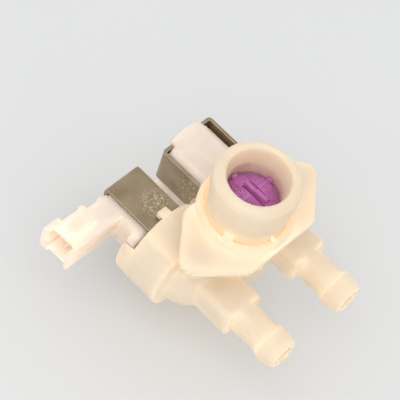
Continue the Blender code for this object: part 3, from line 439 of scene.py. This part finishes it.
LUG_INSET = 0.3 * MM
LUG_EDGE = 0.3 * MM

strainer_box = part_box("inlet_filter")
strainer_crest = strainer_box[1].z
dome_top = strainer_crest - FIN_RISE
rim_top = dome_top - STRAINER_DOME_RISE


def dome(radius, foot, rise):
    """Outline of a round block with a domed top: its side, and the dome's rings up to a small flat."""
    turns = [math.pi / 2 * i / STRAINER_DOME_RINGS for i in range(STRAINER_DOME_RINGS)]
    return [(radius, foot)] + [(radius * math.cos(a), rim_top + rise * math.sin(a)) for a in turns]


strainer = raised(dome(STRAINER_DOME_RADIUS, strainer_box[0].z, STRAINER_DOME_RISE), "strainer")
collar = raised([(STRAINER_RADIUS, rim_top - STRAINER_RIM), (STRAINER_RADIUS, rim_top)], "collar")
apply_modifier(collar, "BEVEL", width=COLLAR_EDGE, segments=3, limit_method="ANGLE")
boolean(strainer, collar, "UNION")

# A slot on each side of the fin gives pliers a hold. The hollow stays below the slots' floors.
for side in (-1, 1):
    near, far = sorted((side * FIN_HALF, side * (FIN_HALF + PULL_SLOT_WIDTH)))
    slot = block(
        (near, FIN_FRONT - CLEAR, dome_top - PULL_SLOT_DEPTH),
        (far, FIN_REAR - FIN_TAPER, dome_top + CLEAR),
        "pull_slot",
        rounding=PULL_SLOT_CORNER,
    )
    boolean(strainer, slot, "DIFFERENCE")
hollow_outline = dome(
    STRAINER_DOME_RADIUS - STRAINER_SHELL,
    strainer_box[0].z - CLEAR,
    STRAINER_DOME_RISE - PULL_SLOT_DEPTH,
)
hollow = raised(hollow_outline, "strainer_hollow")
boolean(strainer, hollow, "DIFFERENCE")

grid_steps = int(GRID_REACH / GRID_PITCH)
punch = block(
    [-grid_steps * GRID_PITCH - GRID_HOLE / 2] * 2 + [strainer_box[0].z - CLEAR],
    [-grid_steps * GRID_PITCH + GRID_HOLE / 2] * 2 + [dome_top + STRAINER_SHELL],
    "strainer_punches",
)
for step in ((GRID_PITCH, 0, 0), (0, GRID_PITCH, 0)):
    apply_modifier(
        punch,
        "ARRAY",
        count=2 * grid_steps + 1,
        use_relative_offset=False,
        use_constant_offset=True,
        constant_offset_displace=step,
    )


def pick_faces(piece, test):
    """In edit mode, selects the faces whose centre and normal pass the test."""
    bpy.ops.object.mode_set(mode="EDIT")
    bpy.ops.mesh.select_mode(type="FACE")
    bpy.ops.mesh.select_all(action="DESELECT")
    bpy.ops.object.mode_set(mode="OBJECT")
    for face in piece.data.polygons:
        face.select = bool(test(face.center, face.normal))
    bpy.ops.object.mode_set(mode="EDIT")


def solid_place(point):
    """The rim, the arm across the dome and the fin's foot have no holes."""
    x, y = (round(c / GRID_PITCH) * GRID_PITCH for c in point[:2])
    near_fin = abs(x) < FIN_HALF + PULL_SLOT_WIDTH
    return math.hypot(x, y) > GRID_REACH or abs(y) < GRID_ARM_HALF or near_fin


pick_faces(punch, lambda centre, normal: solid_place(centre))
bpy.ops.mesh.delete(type="FACE")
bpy.ops.object.mode_set(mode="OBJECT")
boolean(strainer, punch, "DIFFERENCE")

# The fin is a high and a lower bar in line, each with a shallow hollow along its top.
for front, rear, top, name in (
    (FIN_FRONT, FIN_STEP + FIN_HALF / 2, strainer_crest, "fin_front"),
    (FIN_STEP, FIN_REAR, strainer_crest - FIN_TAPER, "fin_rear"),
):
    fin = block((-FIN_HALF, front, dome_top - FIN_ROOT), (FIN_HALF, rear, top), name)
    apply_modifier(fin, "BEVEL", width=FIN_EDGE, segments=3)
    pick_faces(fin, lambda centre, normal: normal.z > 0.99 and centre.z > dome_top)
    bpy.ops.mesh.inset(thickness=FIN_BORDER)
    bpy.ops.transform.translate(value=(0, 0, -FIN_HOLLOW))
    bpy.ops.object.mode_set(mode="OBJECT")
    boolean(strainer, fin, "UNION")

# Four small lugs stand on the rim.
lug_out = STRAINER_RADIUS - LUG_INSET
for quarter in range(4):
    low = (lug_out - LUG_SIZE[0], -LUG_SIZE[1] / 2, rim_top - STRAINER_RIM / 2)
    high = (lug_out, LUG_SIZE[1] / 2, low[2] + LUG_SIZE[2])
    lug = block(low, high, "lug", rounding=LUG_EDGE)
    lug.matrix_world = Matrix.Rotation(quarter * math.pi / 2, 4, "Z")
    boolean(strainer, settle(lug), "UNION")
even_shading(strainer)

# Dyed polypropylene takes less light in than the natural one, so the fine bars of the grid stay crisp.
VIOLET = moulded_plastic(
    "violet_polypropylene_moulded", "#C97BBF", "#B96EB2", 0.42, 0.3, patch=3.0, edge=0.12
)
wear(strainer, VIOLET)
stand_for(strainer, "inlet_filter")


# Each coil is wound on a bobbin and over-moulded with white glass-filled polyamide, in one piece with its
# plug socket. It is pushed on the guide tube and held by its steel frame.

# White polyamide with glass fibre is duller than the body, and its thin plug socket glows warm.
WHITE = moulded_plastic("white_polyamide_moulded", "#FDEEE0", "#FBE8D6", 0.48, 1.0, patch=5.0)
LIP_RADIUS = 9.5 * MM
LIP_FRONT = 16.3 * MM
LIP_REAR = 18.6 * MM
PLATE_HALF = 6.95 * MM
SHOULDER_ROUNDING = 1.2 * MM
SHOULDERS = {  # low and high corners from the coil's axis, where the moulding fills its frame
    "left": (
        ((-9.35 * MM, 16.6 * MM, -1.5 * MM), (0, 33.7 * MM, 9.2 * MM)),
        ((-9.35 * MM, 16.6 * MM, -6.5 * MM), (-3 * MM, 21.5 * MM, 2 * MM)),
        ((-12.4 * MM, 16.6 * MM, -3 * MM), (-3 * MM, 20.0 * MM, 7.6 * MM)),
    ),
    "right": (
        ((-9.2 * MM, 18.0 * MM, 0), (0, 33.7 * MM, 6.6 * MM)),
        ((0, 18.0 * MM, 0), (9.2 * MM, 33.7 * MM, 4.2 * MM)),
    ),
}
PAD_GROOVES = (  # low and high corners of the grooves round the key pad, from the coil's axis
    ((-25.25 * MM, 29.0 * MM, 8.5 * MM), (-24.95 * MM, 33.8 * MM, 9.9 * MM)),
    ((-25.25 * MM, 29.0 * MM, 8.5 * MM), (-15.9 * MM, 29.27 * MM, 9.9 * MM)),
)
# A round lip shows on both sides of the frame's front plate, and shoulders fill the frame behind it.
for side, x in (("left", -VALVE_X), ("right", VALVE_X)):
    cover = dressed_copy("coil_cover_" + side, "coil_moulding_" + side)
    bpy.ops.object.select_all(action="DESELECT")
    bpy.ops.mesh.primitive_cylinder_add(
        vertices=64,
        radius=LIP_RADIUS,
        depth=LIP_REAR - LIP_FRONT,
        location=(x, (LIP_FRONT + LIP_REAR) / 2, -AXIS_DROP),
        rotation=(math.pi / 2, 0, 0),
    )
    lip = settle(bpy.context.object)
    reach = (PLATE_HALF, 2 * LIP_RADIUS) if side == "left" else (2 * LIP_RADIUS, PLATE_HALF)
    plate = block(
        (x - reach[0], LIP_FRONT - CLEAR, -AXIS_DROP - reach[1]),
        (x + reach[0], LIP_REAR + CLEAR, -AXIS_DROP + reach[1]),
        "plate",
    )
    boolean(lip, plate, "DIFFERENCE")
    boolean(cover, lip, "UNION")
    for corners in SHOULDERS[side]:
        low, high = (Vector(corner) + Vector((x, 0, -AXIS_DROP)) for corner in corners)
        boolean(cover, block(low, high, "shoulder", SHOULDER_ROUNDING, segments=4), "UNION")
    turn = Matrix.Rotation(0 if side == "left" else -math.pi / 2, 4, "Y")
    for low, high in PAD_GROOVES:
        groove = block(low, high, "pad_groove")
        groove.matrix_world = Matrix.Translation((x, 0, -AXIS_DROP)) @ turn
        boolean(cover, settle(groove), "DIFFERENCE")
    even_shading(cover)
    wear(cover, WHITE)
    stand_for(cover, "coil_cover_" + side)


# Each coil's frame is a zinc-plated steel strip bent into a U, closed by a plate in front. The plating
# is passivated, so it looks brown-grey and clouded, with rubbed scratches and a stamped mark, and a
# painted highlight runs along its edges. The marks are a plain scribble that says nothing.

FILM_CLOUD = 9 * MM
FILM_SPECKLE = 0.5 * MM
SPECKLE_SHARE = 0.35
MARK_PATCHES = (  # centre and reach of the stamped places
    ((-12.8 * MM, 22.3 * MM, -10.9 * MM), 5.5 * MM),
    ((3.95 * MM, 22.4 * MM, -20.8 * MM), 6.0 * MM),
)
MARK_CORE = 0.6  # share of the reach within which a mark is at its full strength
SCRIBBLE_SIZE = 1.5 * MM
SCRIBBLE_LINE = 0.022  # how far from its middle value the noise still draws
CUT_EDGE = 0.35 * MM
# The painted edge highlight starts at the first of these turns and is full at the second.
EDGE_HIGHLIGHT_FROM, EDGE_HIGHLIGHT_FULL = 0.98, 0.85  # cosine of the turn that the rounding makes
RUB_SIZE = 2.2 * MM
RUB_SQUEEZE = (1.0, 14.0, 1.0)  # the rubs are this much finer along the valve axes
RUB_LOW, RUB_HIGH = 0.3, 0.7
POLISHED, MATT = 0.24, 0.5
RUB_DEPTH = 0.01 * MM
METAL_SHARE = 0.85  # the film lies over the metal and keeps some brown even in a mirrored light


def zinc_plate(name):
    """Passivated zinc plating on rolled strip: a cloudy film, fine scratches, dull patches and a painted
    highlight along the edges.
    """
    made, tree, shader, place = new_material(name)
    cloud = add_node(tree, "TexNoise", {"Vector": place, "Scale": 1 / FILM_CLOUD, "Detail": 2.0})
    speckle = add_node(tree, "TexNoise", {"Vector": place, "Scale": 1 / FILM_SPECKLE, "Detail": 3.0})
    mixed = add_node(
        tree,
        "MixRGB",
        {"Fac": SPECKLE_SHARE, "Color1": cloud.outputs["Fac"], "Color2": speckle.outputs["Fac"]},
    )
    spread = add_node(
        tree,
        "MapRange",
        {"Value": mixed.outputs["Color"], "From Min": NOISE_LOW, "From Max": NOISE_HIGH},
    )
    film = add_node(
        tree,
        "MixRGB",
        {"Fac": spread.outputs["Result"], "Color1": linear("#B9A68C"), "Color2": linear("#99866B")},
    )
    marks = None
    for centre, reach in MARK_PATCHES:
        away = add_node(tree, "VectorMath", {0: place, 1: centre}, operation="DISTANCE")
        near = add_node(
            tree,
            "MapRange",
            {"Value": away.outputs["Value"], "From Min": reach, "From Max": MARK_CORE * reach},
        )
        if marks is None:
            marks = near
        else:
            marks = add_node(
                tree, "Math", {0: marks.outputs[0], 1: near.outputs[0]}, operation="MAXIMUM"
            )
    scribble = add_node(tree, "TexNoise", {"Vector": place, "Scale": 1 / SCRIBBLE_SIZE, "Detail": 1.0})
    line = add_node(
        tree, "Math", {0: scribble.outputs["Fac"], 1: 0.5, 2: SCRIBBLE_LINE}, operation="COMPARE"
    )
    stamped = add_node(tree, "Math", {0: line.outputs[0], 1: marks.outputs[0]}, operation="MULTIPLY")
    film = add_node(
        tree,
        "MixRGB",
        {"Fac": stamped.outputs[0], "Color1": film.outputs["Color"], "Color2": linear("#D8CDA2")},
    )
    corner = add_node(tree, "Bevel", {"Radius": CUT_EDGE}, samples=EDGE_SAMPLES)
    flat = add_node(tree, "NewGeometry").outputs["Normal"]
    turn = add_node(tree, "VectorMath", {0: corner.outputs["Normal"], 1: flat}, operation="DOT_PRODUCT")
    edge = add_node(
        tree,
        "MapRange",
        {"Value": turn.outputs["Value"], "From Min": EDGE_HIGHLIGHT_FROM, "From Max": EDGE_HIGHLIGHT_FULL},
    )
    # A pale colour is painted where the rounding turns: a painted highlight along the cut edges.
    film = add_node(
        tree,
        "MixRGB",
        {"Fac": edge.outputs["Result"], "Color1": film.outputs["Color"], "Color2": linear("#F2ECC6")},
    )
    squeezed = add_node(tree, "Mapping", {"Vector": place, "Scale": RUB_SQUEEZE})
    rubs = add_node(
        tree, "TexNoise", {"Vector": squeezed.outputs["Vector"], "Scale": 1 / RUB_SIZE, "Detail": 6.0}
    )
    gloss = add_node(
        tree,
        "MapRange",
        {
            "Value": rubs.outputs["Fac"],
            "From Min": RUB_LOW,
            "From Max": RUB_HIGH,
            "To Min": POLISHED,
            "To Max": MATT,
        },
    )
    relief = add_node(
        tree,
        "Bump",
        {
            "Height": rubs.outputs["Fac"],
            "Strength": GRAIN_STRENGTH,
            "Distance": RUB_DEPTH,
            "Normal": corner.outputs["Normal"],
        },
    )
    set_inputs(
        tree,
        shader,
        {
            "Base Color": film.outputs["Color"],
            "Metallic": METAL_SHARE,
            "Roughness": gloss.outputs["Result"],
            "Normal": relief.outputs["Normal"],
        },
    )
    return made


ZINC = zinc_plate("passivated_zinc_on_steel")
LOWER_LEG = -28 * MM  # all of the left frame below this is its lower leg, which is narrower
LOWER_LEG_HALF = 5.3 * MM
for side in ("left", "right"):
    for part in ("coil_frame_", "frame_plate_"):
        strip = dressed_copy(part + side, "zinc_" + part + side)
        if side == "left":
            pick_faces(strip, lambda centre, normal: centre.z < LOWER_LEG)
            bpy.ops.transform.resize(
                value=(LOWER_LEG_HALF / PLATE_HALF, 1, 1), center_override=(-VALVE_X, 0, 0)
            )
            bpy.ops.object.mode_set(mode="OBJECT")
        wear(strip, ZINC)
        stand_for(strip, part + side)


# What is inside: turned steel plungers and pole sleeves, rubber seals and diaphragms, acetal bonnets and
# the copper winding. They are fitted before the coils go on. Only the tinned brass blades show, in the
# plug sockets.

METAL_GRAIN = 0.6 * MM
METAL_GLOSS = 0.08  # how far the grain takes the roughness down and up


def turned_metal(name, bright, dull, roughness):
    """Bare metal, drawn or turned, with a fine grain between a bright and a dull colour."""
    made, tree, shader, place = new_material(name)
    grain = add_node(tree, "TexNoise", {"Vector": place, "Scale": 1 / METAL_GRAIN, "Detail": 2.0})
    tone = add_node(
        tree,
        "MixRGB",
        {"Fac": grain.outputs["Fac"], "Color1": linear(bright), "Color2": linear(dull)},
    )
    gloss = add_node(
        tree,
        "MapRange",
        {
            "Value": grain.outputs["Fac"],
            "To Min": roughness - METAL_GLOSS,
            "To Max": roughness + METAL_GLOSS,
        },
    )
    set_inputs(
        tree,
        shader,
        {"Base Color": tone.outputs["Color"], "Metallic": 1.0, "Roughness": gloss.outputs["Result"]},
    )
    return made


# Acetal is pale and slick, rubber black and dull. The metals shine: the steel is grey, the copper red, and
# the blades' brass shows through its thin tin.
NATURAL = moulded_plastic("natural_acetal_moulded", "#ECE9E0", "#E2DDD0", 0.4, 0.2)
STEEL = turned_metal("magnetic_stainless_steel_turned", "#C9C9C6", "#B4B4B0", 0.3)
COPPER = turned_metal("enamelled_copper_wire", "#C9703A", "#A9562A", 0.35)
TINNED = turned_metal("tinned_brass_stamped", "#C9A960", "#AD8E4C", 0.32)
RUBBER = moulded_plastic("epdm_rubber_moulded", "#262626", "#1C1C1C", 0.75, 0.0)

SHARED = {"flow_washer": RUBBER, "flow_regulator": NATURAL}
PER_VALVE = {
    "diaphragm": RUBBER,
    "diaphragm_core": NATURAL,
    "bonnet": NATURAL,
    "plunger": STEEL,
    "plunger_seal": RUBBER,
    "plunger_spring": STEEL,
    "pole_sleeve_front": STEEL,
    "pole_sleeve_rear": STEEL,
    "coil_bobbin": NATURAL,
    "coil_winding": COPPER,
    "terminal_front": TINNED,
    "terminal_rear": TINNED,
}
for node, finish in SHARED.items():
    wear(frame["nodes"][node], finish)
for part, finish in PER_VALVE.items():
    for side in ("left", "right"):
        wear(frame["nodes"][f"{part}_{side}"], finish)


# The valve stands on a plain pale floor under one large softbox in a pale studio. It is seen from above on
# its left side, with the camera rolled as in the photograph.

FLOOR_HALF = 900 * MM
FLOOR_GAP = 0.2 * MM
BOARD_PATCH = 60 * MM
BOARD_ROUGHNESS = 0.9
KEY_PLACE = (-300 * MM, -100 * MM, 560 * MM)
KEY_SIZE = 500 * MM
KEY_POWER = 0.84
WORLD_STRENGTH = 0.86
CAMERA_PLACE = (-294.5 * MM, -135.2 * MM, 483.5 * MM)
CAMERA_AIM = (-7.35 * MM, 11.39 * MM, -0.91 * MM)
CAMERA_ROLL = math.radians(20.84)
CAMERA_LENS = 179.63

floor_height = cad_box[0].z - FLOOR_GAP
bpy.ops.object.select_all(action="DESELECT")
bpy.ops.mesh.primitive_plane_add(size=2 * FLOOR_HALF, location=(0, 0, floor_height))
floor = bpy.context.object
floor.name = "floor"
bpy.ops.object.transform_apply(location=True)
made, tree, shader, place = new_material("matt_pale_board")
tone = add_node(tree, "TexNoise", {"Vector": place, "Scale": 1 / BOARD_PATCH, "Detail": 2.0})
colour = add_node(
    tree,
    "MixRGB",
    {"Fac": tone.outputs["Fac"], "Color1": linear("#EEEFF0"), "Color2": linear("#F1F2F2")},
)
set_inputs(tree, shader, {"Base Color": colour.outputs["Color"], "Roughness": BOARD_ROUGHNESS})
wear(floor, made)

softbox = bpy.data.lights.new("key_softbox", "AREA")
softbox.shape = "SQUARE"
softbox.size = KEY_SIZE
softbox.energy = KEY_POWER
key = bpy.data.objects.new("key_softbox", softbox)
bpy.context.scene.collection.objects.link(key)
key.location = KEY_PLACE
key.rotation_euler = (-Vector(KEY_PLACE)).to_track_quat("-Z", "Y").to_euler()

world = bpy.data.worlds.new("studio")
bpy.context.scene.world = world
world.use_nodes = True
surround = world.node_tree.nodes["Background"]
surround.inputs["Color"].default_value = linear("#F6F6F6")
surround.inputs["Strength"].default_value = WORLD_STRENGTH

lens = bpy.data.cameras.new("camera")
lens.lens = CAMERA_LENS
lens.clip_start = 10 * MM
camera = bpy.data.objects.new("camera", lens)
bpy.context.scene.collection.objects.link(camera)
look = (Vector(CAMERA_AIM) - Vector(CAMERA_PLACE)).to_track_quat("-Z", "Y")
camera.matrix_world = (
    Matrix.Translation(CAMERA_PLACE)
    @ look.to_matrix().to_4x4()
    @ Euler((0, 0, CAMERA_ROLL)).to_matrix().to_4x4()
)
bpy.context.scene.camera = camera
bpy.context.scene.view_settings.view_transform = "Standard"
